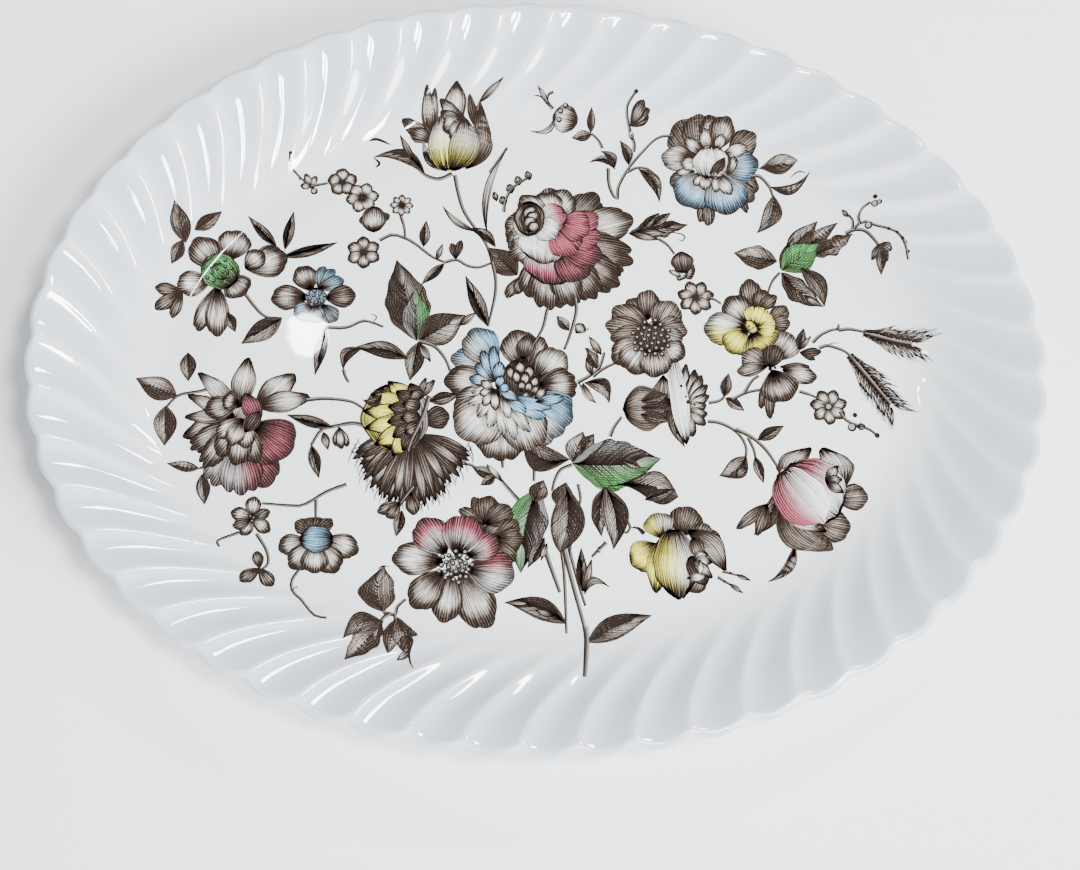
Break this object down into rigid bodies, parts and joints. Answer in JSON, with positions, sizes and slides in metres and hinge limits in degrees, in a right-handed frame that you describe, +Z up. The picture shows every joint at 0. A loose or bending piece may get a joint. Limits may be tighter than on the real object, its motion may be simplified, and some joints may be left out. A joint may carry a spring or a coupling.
{
  "type": "china serving platter",
  "caption": "Oval glazed earthenware serving platter with a swirl-fluted, scalloped rim, an all-over floral print with hand-painted enamels, and a low foot ring.",
  "frame": {"origin": "on the table, at the bottom centre of the platter's box: under the middle of the well, level with the flat underside of the foot ring", "axes": "+X along the long axis of the oval, +Y across it towards the side at the top of the flower pattern, +Z up out of the dish"},
  "size_m": [0.3594, 0.2818, 0.028],
  "materials": {
    "white_glaze": "gloss, clear glaze over a slightly blue-white earthenware body",
    "sepia_print": "engraved brown transfer print under the clear glaze",
    "grey_wash": "stippled brown-grey half tone of the same print",
    "rose_enamel": "thin hand-painted rose colour, gloss",
    "blue_enamel": "thin hand-painted pale blue colour, gloss",
    "green_enamel": "thin hand-painted green colour, gloss",
    "yellow_enamel": "thin hand-painted yellow colour, gloss"
  },
  "bodies": {
    "root": {"well": "white_glaze", "rim": "white_glaze", "foot_ring": "white_glaze"}
  },
  "joints": []
}
